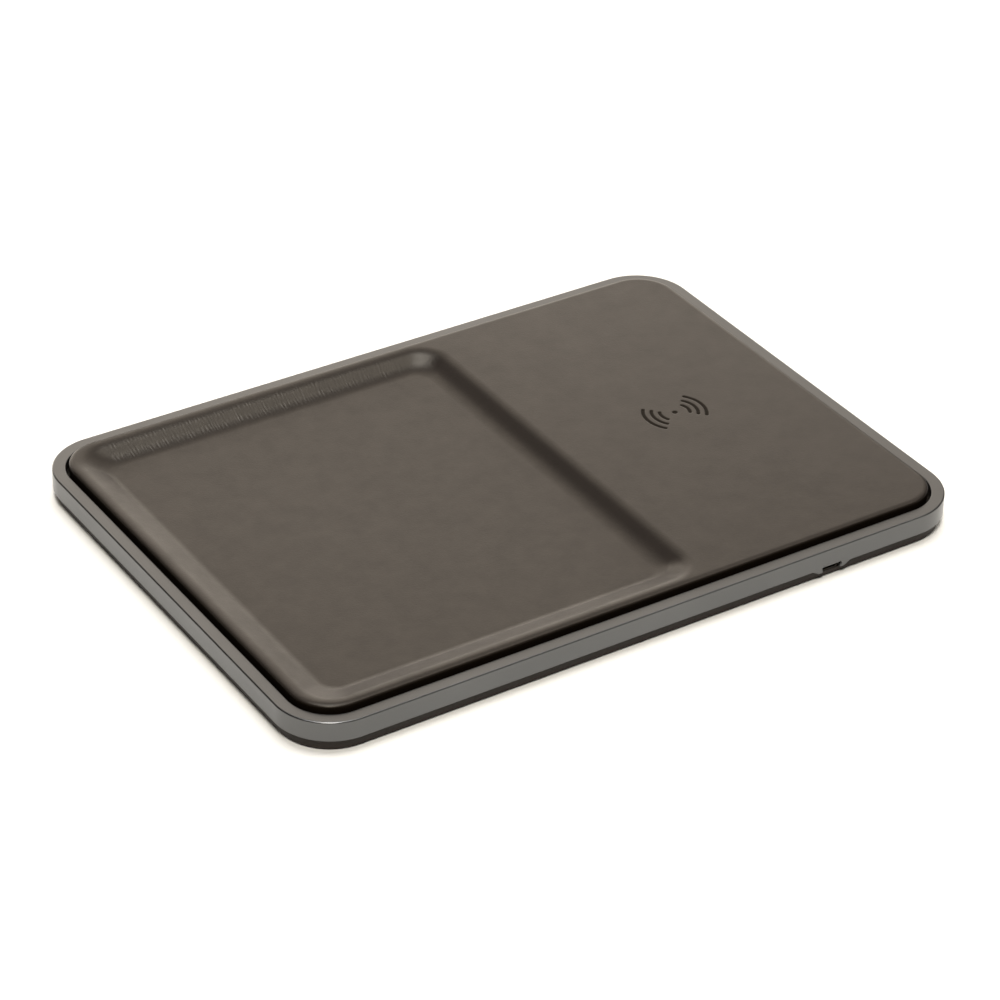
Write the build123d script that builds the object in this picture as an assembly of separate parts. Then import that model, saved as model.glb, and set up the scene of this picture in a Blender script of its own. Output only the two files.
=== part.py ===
from build123d import *
import os
from math import atan, cos, hypot, sin, sqrt

# A flat desk tray: a leather-covered top with a shallow catch-all dish on the left and a wireless
# charging field on the right, held in a slim metal frame over a moulded base.
# Millimetres. X runs along the long side towards the charging field, Y towards the back, Z up.
# The origin is on the table, under the middle of the tray. The socket faces -Y.

# Whole tray
tray_length = 240.0
tray_width = 174.2
corner_radius = 18.5
frame_lift = 4.25  # table to the frame's lower edge
frame_height = 6.75
leather_rise = 2.0  # how far the leather stands above the frame
overrun = 1.0  # how far every cutter passes its work
small_sides = 12  # small hidden posts, bores and screws have flat sides, to keep their faces few

# Frame: an aluminium bezel with a top face, an outer wall, an inner rail and a clamping lip
frame_face_width = 4.45
frame_wall = 1.5
frame_flange = 1.6
frame_rail = 1.2
frame_lip_width = 3.5
frame_lip = 1.0
frame_chamfer = 0.45
frame_inner_chamfer = 0.25
frame_foot_chamfer = 0.3

# Leather and the groove around it
groove_width = 0.95
leather_thickness = 1.0
leather_edge_radius = 2.3
leather_hem_width = 6.0
panel_rim = 2.8  # thickness of the panel's rim, which sets the depth of the groove
panel_skin = 1.5  # wall of the panel under the dish
panel_field = 1.8  # thickness of the panel over the coil
panel_edge_land = 0.2  # flat land between the leather's edge radius and the dish

# Dish: an S-shaped wall that rolls over at the crest and sweeps into a flat floor
dish_depth = 3.8
dish_run = 11.3
dish_crest_radius = 7.6
dish_crest_corner = 10.6
dish_floor_corner = 5.0
field_width = 94.7  # from the tray's right edge to the dish's crest
dish_crest_steps = 2
dish_sweep_steps = 3

# Moulded base
base_gap = 0.1  # between the base's wall and the frame
base_wall = 1.45
base_floor = 1.0
base_edge_chamfer = 0.3
pad_thickness = 1.2
pad_proud = 0.4
pad_inset = 5.0
pad_gap = 0.2
pad_corner_radius = 12.0
rib_thickness = 1.2
rib_reach = 4.3  # from the base's wall to the inner end of a support rib
floor_rib_height = 1.6
long_side_ribs = 8
short_side_ribs = 5

# Socket and its tab on the front face
socket_from_end = 53.3  # from the tray's right end to the socket's middle
tab_top_width = 14.4
tab_bottom_width = 9.8
tab_drop = 2.3
tab_corner_radius = 0.6
mouth_width = 6.95
mouth_foot_width = 6.1
mouth_height = 2.0
mouth_corner_radius = 0.4
mouth_headroom = 0.15
shell_wall = 0.3
shell_length = 5.6
shell_setback = 0.15
shell_clearance = 0.2
shell_ear_width = 1.5
shell_ear_length = 1.8
socket_floor_gap = 0.1
tongue_width = 3.8
tongue_thickness = 0.6
tongue_length = 3.4
contact_count = 5
contact_width = 0.3
contact_gap = 0.35
contact_thickness = 0.15
contact_tail = 0.8

# Screws
screw_diameter = 2.2
screw_head_diameter = 4.0
screw_head = 1.3
screw_length = 4.6
screw_play = 0.1
screw_head_play = 0.25
pilot_spare = 0.5  # pilot hole past the screw's tip
boss_diameter = 5.6
base_boss_diameter = 7.2
boss_web = 1.2
boss_margin = 9.0  # from the edge of the dish's floor to a boss's centre
boss_hem_gap = 0.6  # between a boss and the turned-in leather

# Coil under the charging field
coil_turn_gap = 0.45
coil_wire_width = 1.45
coil_wire_height = 0.8
coil_inner_radius = 10.6
coil_top_gap = 0.05
coil_margin = 2.5  # from the winding's outer turn to the ferrite's edge
ferrite_margin = 3.0  # from the ferrite's edge to the shield's
ferrite_thickness = 1.0
ferrite_corner_radius = 4.0
ferrite_slot_width = 1.7
shield_thickness = 0.8
shield_corner_radius = 5.0
carrier_side_gap = 4.4  # from the dish's crest to the carrier
carrier_screw_margin = 11.0  # from the carrier's end to the shield's edge
carrier_side_margin = 3.0
carrier_thickness = 1.5
carrier_corner_radius = 6.0
carrier_fence = 1.2
carrier_fence_height = 1.0
carrier_fence_gap = 0.3
carrier_fence_opening = 12.0
carrier_window_margin = 12.0  # from the shield's edge to the window in the carrier
carrier_screw_inset = 4.5
carrier_screw_length = 4.6
lead_diameter = 0.7
lead_sides = 6
lead_bend_radius = 1.2
lead_spread = 4.0
lead_pad_depth = 3.0
lead_first_bend_share = 0.45  # share of the ferrite's thickness, so the lead turns inside its slot
thermistor_length = 2.4
thermistor_width = 1.6
thermistor_height = 0.7

# Circuit board
board_length = 56.0
board_width = 38.0
board_thickness = 1.2
board_gap = 0.35  # from the base's wall to the board's edge
board_screw_inset = 3.6
board_screw_inset_front = 9.0
board_screw_length = 3.6
board_post_diameter = 5.0
chip_size = 6.0
chip_height = 0.9
transistor_length = 5.0
transistor_width = 4.0
transistor_height = 1.0
resonance_cap_length = 4.6
resonance_cap_width = 3.2
resonance_cap_height = 2.4
inductor_size = 6.6
inductor_height = 3.0
inductor_core_diameter = 5.2
inductor_flange = 0.7
inductor_neck_diameter = 4.0
inductor_hem_gap = 0.6  # from the turned-in leather, which hangs over the board's front
crystal_length = 3.2
crystal_width = 2.5
crystal_height = 0.8
small_part_length = 1.6
small_part_width = 0.8
small_part_height = 0.7

# Places on the board, as shares of its length and width from its front left corner
chip_place_share = (0.50, 0.56)
crystal_place_share = (0.36, 0.60)
inductor_along_share = 0.24
transistor_place_shares = ((0.70, 0.42), (0.82, 0.42), (0.70, 0.58), (0.82, 0.58))
resonance_place_shares = ((0.66, 0.80), (0.66, 0.90), (0.78, 0.80), (0.78, 0.90))
filter_place_shares = ((0.36, 0.24), (0.36, 0.32), (0.36, 0.40), (0.62, 0.24), (0.62, 0.30))
chip_ring_shares = ((0.44, 0.44), (0.50, 0.44), (0.56, 0.44), (0.44, 0.68), (0.50, 0.68), (0.56, 0.68))
resistor_place_shares = ((0.24, 0.56), (0.24, 0.64), (0.24, 0.72), (0.30, 0.80), (0.38, 0.80), (0.46, 0.80))

# Heights worked out from the sizes above
frame_top = frame_lift + frame_height
flange_bottom = frame_top - frame_flange
crown_top = frame_top + leather_rise
panel_top = crown_top - leather_thickness
rim_bottom = panel_top - panel_rim
lip_top = rim_bottom - leather_thickness
lip_bottom = lip_top - frame_lip
field_bottom = panel_top - panel_field
dish_bottom = crown_top - dish_depth - leather_thickness - panel_skin
floor_top = pad_thickness + base_floor
socket_floor = floor_top + socket_floor_gap
mouth_bottom = socket_floor + shell_wall
mouth_top = mouth_bottom + mouth_height
board_bottom = mouth_top + shell_wall
board_top = board_bottom + board_thickness
boss_split = pad_thickness + screw_head_play + screw_head + boss_web
coil_top = field_bottom - coil_top_gap
coil_bottom = coil_top - coil_wire_height
ferrite_bottom = coil_bottom - ferrite_thickness
shield_bottom = ferrite_bottom - shield_thickness
carrier_bottom = shield_bottom - carrier_thickness

# Insets from the tray's outline, and the places that follow from them
base_inset = frame_wall + base_gap
base_inner_inset = base_inset + base_wall
leather_inset = frame_face_width + groove_width
panel_inset = leather_inset + leather_thickness
hem_inset = leather_inset + leather_hem_width
crest_inset = leather_inset + leather_edge_radius + panel_edge_land
dish_left = crest_inset - tray_length / 2
dish_right = tray_length / 2 - field_width
dish_centre_x = (dish_left + dish_right) / 2
dish_length = dish_right - dish_left
dish_width = tray_width - 2 * crest_inset
field_left = dish_right + panel_edge_land
coil_x = (dish_right + tray_length / 2 - crest_inset) / 2
carrier_length = 2 * (coil_x - dish_right - carrier_side_gap)
shield_size = carrier_length - 2 * carrier_screw_margin
carrier_width = shield_size + 2 * carrier_side_margin
ferrite_size = shield_size - 2 * ferrite_margin
coil_pitch = coil_wire_width + coil_turn_gap
coil_turns = int((ferrite_size / 2 - coil_margin - coil_inner_radius) / coil_pitch)
socket_x = tray_length / 2 - socket_from_end
contact_pitch = contact_width + contact_gap
panel_edge_chamfer = (leather_edge_radius - leather_thickness) * (2 - sqrt(2))  # grazes the inner arc
board_front = base_inner_inset + board_gap - tray_width / 2
board_left = socket_x - board_length / 2
front_face = -tray_width / 2
shell_front = front_face + base_inset + shell_setback


def outline(inset):
    """The tray's rounded rectangle, moved in by an inset."""
    return RectangleRounded(tray_length - 2 * inset, tray_width - 2 * inset, corner_radius - inset)


def slab(inset, low, high):
    """The tray's outline as a plate between two heights."""
    return Pos(0, 0, low) * extrude(outline(inset), high - low)


def ring(outer_inset, inner_inset, low, high):
    """A closed band between two insets."""
    return slab(outer_inset, low, high) - slab(inner_inset, low - overrun, high + overrun)


def block(x, y, length, width, low, high, radius=0):
    """An upright block on its centre, with round corners if it has a radius."""
    face = RectangleRounded(length, width, radius) if radius else Rectangle(length, width)
    return Pos(x, y, low) * extrude(face, high - low)


def post(x, y, diameter, low, high):
    """An upright post or bore, drawn as a prism of many sides."""
    return Pos(x, y, low) * extrude(RegularPolygon(diameter / 2, small_sides), high - low)


def top_edges(part):
    return part.edges().group_by(Axis.Z)[-1]


def bottom_edges(part):
    return part.edges().group_by(Axis.Z)[0]


def dish_sections(drop):
    """Outlines down the dish's wall: a convex arc from the crest, then a concave arc to the floor.

    Both arcs meet at the steepest slope, which the depth and the run give.
    """
    steepest = 2 * atan(dish_depth / dish_run)
    sweep_radius = dish_run / sin(steepest) - dish_crest_radius
    places = []
    for step in range(dish_crest_steps + 1):
        slope = steepest * step / dish_crest_steps
        places.append((dish_crest_radius * sin(slope), dish_crest_radius * (1 - cos(slope))))
    for step in range(1, dish_sweep_steps + 1):
        slope = steepest * (1 - step / dish_sweep_steps)
        places.append((dish_run - sweep_radius * sin(slope), dish_depth - sweep_radius * (1 - cos(slope))))
    sections = []
    for run, fall in places:
        radius = dish_crest_corner + (dish_floor_corner - dish_crest_corner) * run / dish_run
        face = RectangleRounded(dish_length - 2 * run, dish_width - 2 * run, radius)
        sections.append(Pos(dish_centre_x, 0, crown_top - drop - fall) * face)
    return sections


def dish_form(drop):
    """The space of the dish, lowered by a drop, with a flat top at its crest."""
    return loft(dish_sections(drop), ruled=True)


def dish_cutter(drop):
    """The same space, open upwards past the leather."""
    low = crown_top - drop
    mouth = block(dish_centre_x, 0, dish_length, dish_width, low, crown_top + overrun, dish_crest_corner)
    return dish_form(drop) + mouth


def body_screw_places():
    """Centres of the screws that hold the base to the panel: four under the dish, two past the field."""
    dish_x = dish_length / 2 - dish_run - boss_margin
    dish_y = dish_width / 2 - dish_run - boss_margin
    far_x = tray_length / 2 - corner_radius
    field_y = tray_width / 2 - hem_inset - boss_diameter / 2 - boss_hem_gap
    places = []
    for side in (-1, 1):
        places.append((dish_centre_x - dish_x, side * dish_y, dish_bottom))
        places.append((dish_centre_x + dish_x, side * dish_y, dish_bottom))
        places.append((far_x, side * field_y, field_bottom))
    return places


def carrier_screw_places():
    places = []
    for side_x in (-1, 1):
        for side_y in (-1, 1):
            x = coil_x + side_x * (carrier_length / 2 - carrier_screw_inset)
            places.append((x, side_y * (carrier_width / 2 - carrier_screw_inset)))
    return places


def board_screw_places():
    front = board_front + board_screw_inset_front
    back = board_front + board_width - board_screw_inset
    left = board_left + board_screw_inset
    right = board_left + board_length - board_screw_inset
    return [(left, front), (right, front), (left, back)]


def on_board(share):
    """A place on the board from its shares of length and width."""
    return board_left + share[0] * board_length, board_front + share[1] * board_width


def inductor_place():
    """The tall inductor stands behind the turned-in leather."""
    y = front_face + hem_inset + inductor_hem_gap + inductor_size / 2
    return board_left + inductor_along_share * board_length, y


def screw(x, y, head_low, length, head_down):
    """A screw whose head rests at a height: head below and shank up, or the other way round."""
    part = post(0, 0, screw_diameter, 0, length) + post(0, 0, screw_head_diameter, -screw_head, 0)
    return Pos(x, y, head_low) * (part if head_down else Rot(180, 0, 0) * part)


def group(solids):
    return Compound(children=list(solids))


def inset_of(point):
    """How far a point lies inside the tray's outline."""
    past_x = abs(point.X) - (tray_length / 2 - corner_radius)
    past_y = abs(point.Y) - (tray_width / 2 - corner_radius)
    if past_x > 0 and past_y > 0:
        return corner_radius - hypot(past_x, past_y)
    return min(tray_length / 2 - abs(point.X), tray_width / 2 - abs(point.Y))


def front_prism(points, near, far):
    """A profile in X and Z, carried from one depth behind the front face to another."""
    face = Plane.XZ.offset(tray_width / 2 - far) * Polygon(*points, align=None)
    return extrude(face, far - near)


def frame():
    """The bezel: flat top face, outer wall, inner rail, lip, and the tab round the socket's notch."""
    body = slab(0, frame_lift, frame_top)
    body = chamfer(top_edges(body), frame_chamfer)
    body = chamfer(bottom_edges(body), frame_foot_chamfer)
    body -= slab(frame_wall, frame_lift - overrun, flange_bottom)
    body -= slab(frame_face_width, frame_lift, frame_top + overrun)
    inner = [edge for edge in top_edges(body) if inset_of(edge @ 0.5) > frame_face_width / 2]
    body = chamfer(inner, frame_inner_chamfer)
    rail_inset = frame_face_width - frame_rail
    body += ring(rail_inset, frame_face_width, lip_bottom, flange_bottom)
    body += ring(rail_inset, frame_face_width + frame_lip_width, lip_bottom, lip_top)
    tab_low = frame_lift - tab_drop
    tab_high = frame_lift + frame_wall
    tab = front_prism([
        (socket_x - tab_top_width / 2, tab_high),
        (socket_x - tab_top_width / 2, frame_lift),
        (socket_x - tab_bottom_width / 2, tab_low),
        (socket_x + tab_bottom_width / 2, tab_low),
        (socket_x + tab_top_width / 2, frame_lift),
        (socket_x + tab_top_width / 2, tab_high),
    ], 0, frame_wall)
    foot = [edge for edge in tab.edges().filter_by(Axis.Y) if abs((edge @ 0.5).Z - tab_low) < tab_drop / 4]
    tab = fillet(foot, tab_corner_radius)
    notch = front_prism([
        (socket_x - mouth_width / 2, mouth_top + mouth_headroom),
        (socket_x - mouth_foot_width / 2, tab_low - overrun),
        (socket_x + mouth_foot_width / 2, tab_low - overrun),
        (socket_x + mouth_width / 2, mouth_top + mouth_headroom),
    ], -overrun, frame_wall + base_gap / 2)
    notch_top = [edge for edge in notch.edges().filter_by(Axis.Y) if (edge @ 0.5).Z > mouth_bottom]
    notch = fillet(notch_top, mouth_corner_radius)
    return body + tab - notch


def leather_cover():
    """The leather: top skin, rolled edge, dish lining and the hem turned under the panel's rim."""
    skin = slab(leather_inset, rim_bottom, crown_top)
    skin = fillet(top_edges(skin), leather_edge_radius)
    core = slab(panel_inset, rim_bottom - overrun, panel_top)
    core = chamfer(top_edges(core), panel_edge_chamfer)
    skin = skin - core + dish_form(leather_thickness) - dish_cutter(0)
    return skin + ring(leather_inset, hem_inset, lip_top, rim_bottom)


def top_panel():
    """The moulded carrier: rim, dish wall, charging field with its coil pocket, and screw bosses."""
    body = slab(panel_inset, rim_bottom, panel_top)
    body = chamfer(top_edges(body), panel_edge_chamfer)
    body = body + dish_form(leather_thickness + panel_skin) - dish_cutter(leather_thickness)
    pocket_left = field_left
    pocket_right = tray_length / 2 - hem_inset
    pocket_x = (pocket_left + pocket_right) / 2
    pocket_length = pocket_right - pocket_left
    pocket_width = tray_width - 2 * hem_inset
    body -= block(pocket_x, 0, pocket_length, pocket_width, rim_bottom - overrun, field_bottom,
                  corner_radius - hem_inset)
    for x, y, root in body_screw_places():
        body += post(x, y, boss_diameter, boss_split, root)
    for x, y in carrier_screw_places():
        body += post(x, y, boss_diameter, shield_bottom, field_bottom)
    pilot = screw_diameter + screw_play
    for x, y, root in body_screw_places():
        tip = boss_split - boss_web + screw_length + pilot_spare
        body -= post(x, y, pilot, boss_split - overrun, tip)
    for x, y in carrier_screw_places():
        tip = carrier_bottom + carrier_screw_length + pilot_spare
        body -= post(x, y, pilot, shield_bottom - overrun, tip)
    return body


def support_ribs():
    """Ribs along the base's wall that carry the frame's lip, left out where the board lies."""
    reach = rib_reach + base_wall / 2
    clear_left = board_left - rib_thickness - pad_gap
    clear_right = board_left + board_length + rib_thickness + pad_gap
    ribs = []
    for step in range(long_side_ribs):
        span = tray_length - 2 * corner_radius - 2 * rib_reach
        x = span * (step / (long_side_ribs - 1) - 1 / 2)
        for side in (-1, 1):
            if side < 0 and clear_left < x < clear_right:
                continue
            y = side * (tray_width / 2 - base_inner_inset - reach / 2 + base_wall / 2)
            ribs.append(block(x, y, rib_thickness, reach, pad_thickness, lip_bottom))
    for step in range(short_side_ribs):
        span = tray_width - 2 * corner_radius - 2 * rib_reach
        y = span * (step / (short_side_ribs - 1) - 1 / 2)
        for side in (-1, 1):
            x = side * (tray_length / 2 - base_inner_inset - reach / 2 + base_wall / 2)
            ribs.append(block(x, y, reach, rib_thickness, pad_thickness, lip_bottom))
    return ribs


def floor_ribs():
    """Low ribs on the base's floor that tie the bosses under the dish together."""
    places = [place for place in body_screw_places() if place[2] == dish_bottom]
    left = min(place[0] for place in places)
    right = max(place[0] for place in places)
    reach = max(place[1] for place in places)
    middle = (left + right) / 2
    high = floor_top + floor_rib_height
    ribs = []
    for y in (-reach, 0, reach):
        ribs.append(block(middle, y, right - left, rib_thickness, pad_thickness, high))
    for x in (left, middle, right):
        ribs.append(block(x, 0, rib_thickness, 2 * reach, pad_thickness, high))
    return ribs


def base_tray():
    """The moulded base: floor with a pocket for the pad, skirt, ribs, screw bosses and board posts."""
    body = slab(base_inset, pad_proud, flange_bottom)
    body = chamfer(bottom_edges(body), base_edge_chamfer)
    body -= slab(base_inner_inset, floor_top, flange_bottom + overrun)
    for rib in support_ribs() + floor_ribs():
        body += rib
    for x, y, root in body_screw_places():
        body += post(x, y, base_boss_diameter, pad_thickness, boss_split)
    for x, y in board_screw_places():
        body += post(x, y, board_post_diameter, pad_thickness, board_bottom)
    body -= block(0, 0, tray_length - 2 * (base_inset + pad_inset - pad_gap),
                  tray_width - 2 * (base_inset + pad_inset - pad_gap), pad_proud - overrun, pad_thickness,
                  pad_corner_radius)
    for x, y, root in body_screw_places():
        body -= post(x, y, screw_head_diameter + 2 * screw_head_play, pad_thickness - overrun,
                     boss_split - boss_web)
        body -= post(x, y, screw_diameter + 2 * screw_play, pad_thickness, boss_split + overrun)
    for x, y in board_screw_places():
        tip = board_top - board_screw_length - pilot_spare / 2
        body -= post(x, y, screw_diameter + screw_play, tip, board_bottom + overrun)
    window_width = mouth_width + 2 * (shell_wall + shell_clearance)
    window_low = floor_top
    window_high = board_bottom + shell_clearance
    body -= block(socket_x, front_face + base_inset + base_wall / 2, window_width,
                  base_wall + 2 * overrun, window_low, window_high)
    return body


def base_pad():
    """The non-slip sheet in the base's pocket. It is what the tray stands on."""
    length = tray_length - 2 * (base_inset + pad_inset)
    width = tray_width - 2 * (base_inset + pad_inset)
    pad = block(0, 0, length, width, 0, pad_thickness, pad_corner_radius - pad_gap)
    return chamfer(bottom_edges(pad), pad_gap)


def base_screws():
    seat = boss_split - boss_web
    return group(screw(x, y, seat, screw_length, True) for x, y, root in body_screw_places())


def carrier_screws():
    return group(screw(x, y, carrier_bottom, carrier_screw_length, True) for x, y in carrier_screw_places())


def board_screws():
    return group(screw(x, y, board_top, board_screw_length, False) for x, y in board_screw_places())


def coil_path():
    """Half circles on two centres half a pitch apart, each wider than the last: a flat spiral.

    It starts and ends on the side that faces the board.
    """
    arcs = []
    for half in range(2 * coil_turns):
        radius = coil_inner_radius + half * coil_pitch / 2
        shift = 0 if half % 2 == 0 else coil_pitch / 2
        arcs.append(CenterArc((shift, 0), radius, 180 * half, 180))
    place = Pos(coil_x, 0, (coil_top + coil_bottom) / 2) * Rot(0, 0, -90)
    return place * Wire([arc.edge() for arc in arcs])


def charging_coil():
    """One flat spiral winding, swept in one run from its inner end to its outer end."""
    path = coil_path()
    start = Plane(origin=path @ 0, z_dir=path % 0, x_dir=(0, 0, 1))
    return sweep(start * Rectangle(coil_wire_height, coil_wire_width), path=path)


def coil_gap():
    """The least clear distance between one turn and the next, measured on points of the winding."""
    path = coil_path()
    steps_in_turn = 24
    steps = steps_in_turn * coil_turns
    points = [path @ (step / steps) for step in range(steps + 1)]
    least = None
    for first, point in enumerate(points):
        for other in points[first + steps_in_turn // 2:]:
            apart = (point - other).length
            least = apart if least is None else min(least, apart)
    return least - coil_wire_width


def coil_leads():
    """Two leads from the winding's ends to the board: the inner one crosses in the ferrite's slot."""
    outer_y = -(coil_inner_radius + coil_turns * coil_pitch)
    board_back = board_front + board_width
    landing = board_top + lead_diameter / 2
    middle = (coil_top + coil_bottom) / 2
    slot_height = ferrite_bottom + ferrite_thickness / 2
    inner_y = -coil_inner_radius
    run_out = -(carrier_width / 2 + carrier_fence)
    outer_points = [
        (coil_x, outer_y, middle),
        (coil_x + lead_spread, outer_y, middle),
        (coil_x + lead_spread, run_out, middle),
        (coil_x + lead_spread, board_back + lead_diameter, landing),
        (coil_x + lead_spread, board_back - lead_pad_depth, landing),
    ]
    inner_x = coil_x + lead_diameter / 2
    inner_points = [
        (inner_x, inner_y, coil_bottom),
        (inner_x, inner_y, slot_height),
        (inner_x, run_out, slot_height),
        (inner_x, board_back + lead_diameter, landing),
        (inner_x, board_back - lead_pad_depth, landing),
    ]
    leads = []
    for points in (outer_points, inner_points):
        first_bend = min(lead_bend_radius, ferrite_thickness * lead_first_bend_share)
        path = FilletPolyline(*points, radius=[first_bend] + [lead_bend_radius for corner in points[2:-1]])
        start = Plane(origin=path @ 0, z_dir=path % 0)
        leads.append(sweep(start * RegularPolygon(lead_diameter / 2, lead_sides), path=path.wire()))
    return group(leads)


def ferrite_plate():
    """The black ferrite tile behind the winding, slotted for the inner lead."""
    tile = block(coil_x, 0, ferrite_size, ferrite_size, ferrite_bottom, coil_bottom, ferrite_corner_radius)
    slot_length = ferrite_size / 2 - coil_inner_radius + coil_wire_width + ferrite_slot_width
    slot_y = -(ferrite_size / 2 - slot_length / 2 + overrun / 2)
    slot_x = coil_x + lead_diameter / 2
    slot = block(slot_x, slot_y, ferrite_slot_width, slot_length + overrun,
                 ferrite_bottom - overrun, coil_bottom + overrun)
    return tile - slot


def shield_plate():
    """The aluminium sheet that keeps the field away from the board."""
    return block(coil_x, 0, shield_size, shield_size, shield_bottom, ferrite_bottom, shield_corner_radius)


def coil_carrier():
    """The bracket that presses the coil stack to the panel, with a low fence round the shield."""
    body = block(coil_x, 0, carrier_length, carrier_width,
                 carrier_bottom, shield_bottom, carrier_corner_radius)
    fence_size = shield_size + 2 * (carrier_fence_gap + carrier_fence)
    fence_high = shield_bottom + carrier_fence_height
    inner_size = fence_size - 2 * carrier_fence
    fence = block(coil_x, 0, fence_size, fence_size, carrier_bottom, fence_high)
    fence -= block(coil_x, 0, inner_size, inner_size, shield_bottom, fence_high + overrun)
    fence -= block(coil_x, -fence_size / 2, carrier_fence_opening, carrier_fence_opening, shield_bottom,
                   fence_high + overrun)
    body += fence
    window = shield_size - 2 * carrier_window_margin
    body -= block(coil_x, 0, window, window, carrier_bottom - overrun, shield_bottom + overrun,
                  shield_corner_radius)
    for x, y in carrier_screw_places():
        body -= post(x, y, screw_diameter + 2 * screw_play, carrier_bottom - overrun,
                     fence_high + overrun)
    return body


def thermistor():
    """The small temperature bead in the middle of the winding."""
    bead_top = coil_bottom + thermistor_height
    bead = block(coil_x, 0, thermistor_length, thermistor_width, coil_bottom, bead_top)
    return chamfer(top_edges(bead), thermistor_height / 4)


def circuit_board():
    centre_x = board_left + board_length / 2
    centre_y = board_front + board_width / 2
    board = block(centre_x, centre_y, board_length, board_width, board_bottom, board_top)
    for x, y in board_screw_places():
        board -= post(x, y, screw_diameter + 2 * screw_play, board_bottom - overrun, board_top + overrun)
    return board


def socket_profile(grow):
    """The socket's tapered section seen from the front, grown outwards by a wall."""
    half = mouth_width / 2 + grow
    foot = mouth_foot_width / 2 - mouth_height / 4 + grow
    low = mouth_bottom - grow
    high = mouth_top + grow
    shoulder = mouth_bottom + mouth_height / 3
    return [(socket_x - half, high), (socket_x - half, shoulder), (socket_x - foot, low),
            (socket_x + foot, low), (socket_x + half, shoulder), (socket_x + half, high)]


def socket_shell():
    """The folded steel shell, open at the front, with two solder ears under the board."""
    near = shell_front - front_face
    far = near + shell_length
    shell = front_prism(socket_profile(shell_wall), near, far)
    shell -= front_prism(socket_profile(0), near - overrun, far + overrun)
    for side in (-1, 1):
        x = socket_x + side * (mouth_width / 2 + shell_wall + shell_ear_width / 2)
        shell += block(x, shell_front + shell_length - shell_ear_length, shell_ear_width, shell_ear_length,
                       board_bottom - shell_wall, board_bottom)
    return shell


def contact_places():
    return [socket_x + (index - (contact_count - 1) / 2) * contact_pitch for index in range(contact_count)]


def contact_bars():
    """Each contact lies under the tongue, runs back through the insulator and turns up to the board."""
    back = shell_front + shell_length
    tongue_low = mouth_top - mouth_height / 3 - tongue_thickness / 2
    start = back - tongue_length - contact_thickness
    bars = []
    for x in contact_places():
        length = back + contact_tail - start
        bar = block(x, start + length / 2, contact_width, length, tongue_low - contact_thickness, tongue_low)
        tail_y = back + contact_tail - contact_thickness / 2
        tail = block(x, tail_y, contact_width, contact_thickness,
                     tongue_low - contact_thickness, board_bottom)
        bars.append(bar + tail)
    return bars


def socket_insulator():
    """The plastic block at the back of the shell and the tongue that it carries."""
    back = shell_front + shell_length
    depth = shell_length - tongue_length - shell_ear_length / 2
    far = back - front_face
    core = front_prism(socket_profile(-shell_clearance / 4), far - depth, far)
    tongue_low = mouth_top - mouth_height / 3 - tongue_thickness / 2
    tongue = block(socket_x, back - depth - tongue_length / 2, tongue_width, tongue_length + depth,
                   tongue_low, tongue_low + tongue_thickness)
    part = core + tongue
    for bar in contact_bars():
        part -= bar
    return part


def controller_chip():
    x, y = on_board(chip_place_share)
    chip = block(x, y, chip_size, chip_size, board_top, board_top + chip_height)
    return chamfer(top_edges(chip), chip_height / 6)


def rows_of(shares, length, width, height):
    """One block of a size at each listed place on the board."""
    return group(block(*on_board(share), length, width, board_top, board_top + height) for share in shares)


def filter_inductor():
    """A drum-core inductor: two square flanges on a round neck."""
    x, y = inductor_place()
    low = board_top
    high = board_top + inductor_height
    core = post(x, y, inductor_neck_diameter, low, high)
    for start in (low, high - inductor_flange):
        core += block(x, y, inductor_size, inductor_size, start, start + inductor_flange)
    return core


def inductor_winding():
    """The winding as one ring of copper between the inductor's flanges."""
    x, y = inductor_place()
    low = board_top + inductor_flange + screw_play
    high = board_top + inductor_height - inductor_flange - screw_play
    ring_part = post(x, y, inductor_core_diameter, low, high)
    return ring_part - post(x, y, inductor_neck_diameter + screw_play, low - overrun, high + overrun)


def main():
    os.makedirs("parts", exist_ok=True)
    pieces = {
        "frame": frame(),
        "leather_cover": leather_cover(),
        "top_panel": top_panel(),
        "base_tray": base_tray(),
        "base_pad": base_pad(),
        "base_screws": base_screws(),
        "charging_coil": charging_coil(),
        "coil_leads": coil_leads(),
        "ferrite_plate": ferrite_plate(),
        "shield_plate": shield_plate(),
        "coil_carrier": coil_carrier(),
        "carrier_screws": carrier_screws(),
        "thermistor": thermistor(),
        "circuit_board": circuit_board(),
        "board_screws": board_screws(),
        "socket_shell": socket_shell(),
        "socket_insulator": socket_insulator(),
        "socket_contacts": group(contact_bars()),
        "controller_chip": controller_chip(),
        "crystal": rows_of((crystal_place_share,), crystal_length, crystal_width, crystal_height),
        "filter_inductor": filter_inductor(),
        "inductor_winding": inductor_winding(),
        "power_transistors": rows_of(transistor_place_shares, transistor_length, transistor_width,
                                     transistor_height),
        "resonance_capacitors": rows_of(resonance_place_shares, resonance_cap_length,
                                        resonance_cap_width, resonance_cap_height),
        "filter_capacitors": rows_of(filter_place_shares + chip_ring_shares, small_part_length,
                                     small_part_width, small_part_height),
        "chip_resistors": rows_of(resistor_place_shares, small_part_length, small_part_width,
                                  small_part_height / 2),
    }
    for name, piece in pieces.items():
        export_step(piece, "parts/" + name + ".step")
    print("pieces written:", len(pieces))
    print("least gap between the coil's turns, mm:", round(coil_gap(), 3))


main()
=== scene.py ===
# %% [markdown]
# # A leather-topped charging tray
#
# The object is a flat desk tray. A slim anodised metal bezel holds a leather-covered top, which sinks
# into a shallow dish on the left and stays flat on the right, over a charging coil. This lesson loads the
# measured parts, gives each its finish, and rebuilds the two that carry the looks, the bezel and the
# leather, as smooth surfaces that are worked out with numpy.

import math

import bpy
import numpy as np
from mathutils import Matrix, Vector
from mathutils.geometry import delaunay_2d_cdt


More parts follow.
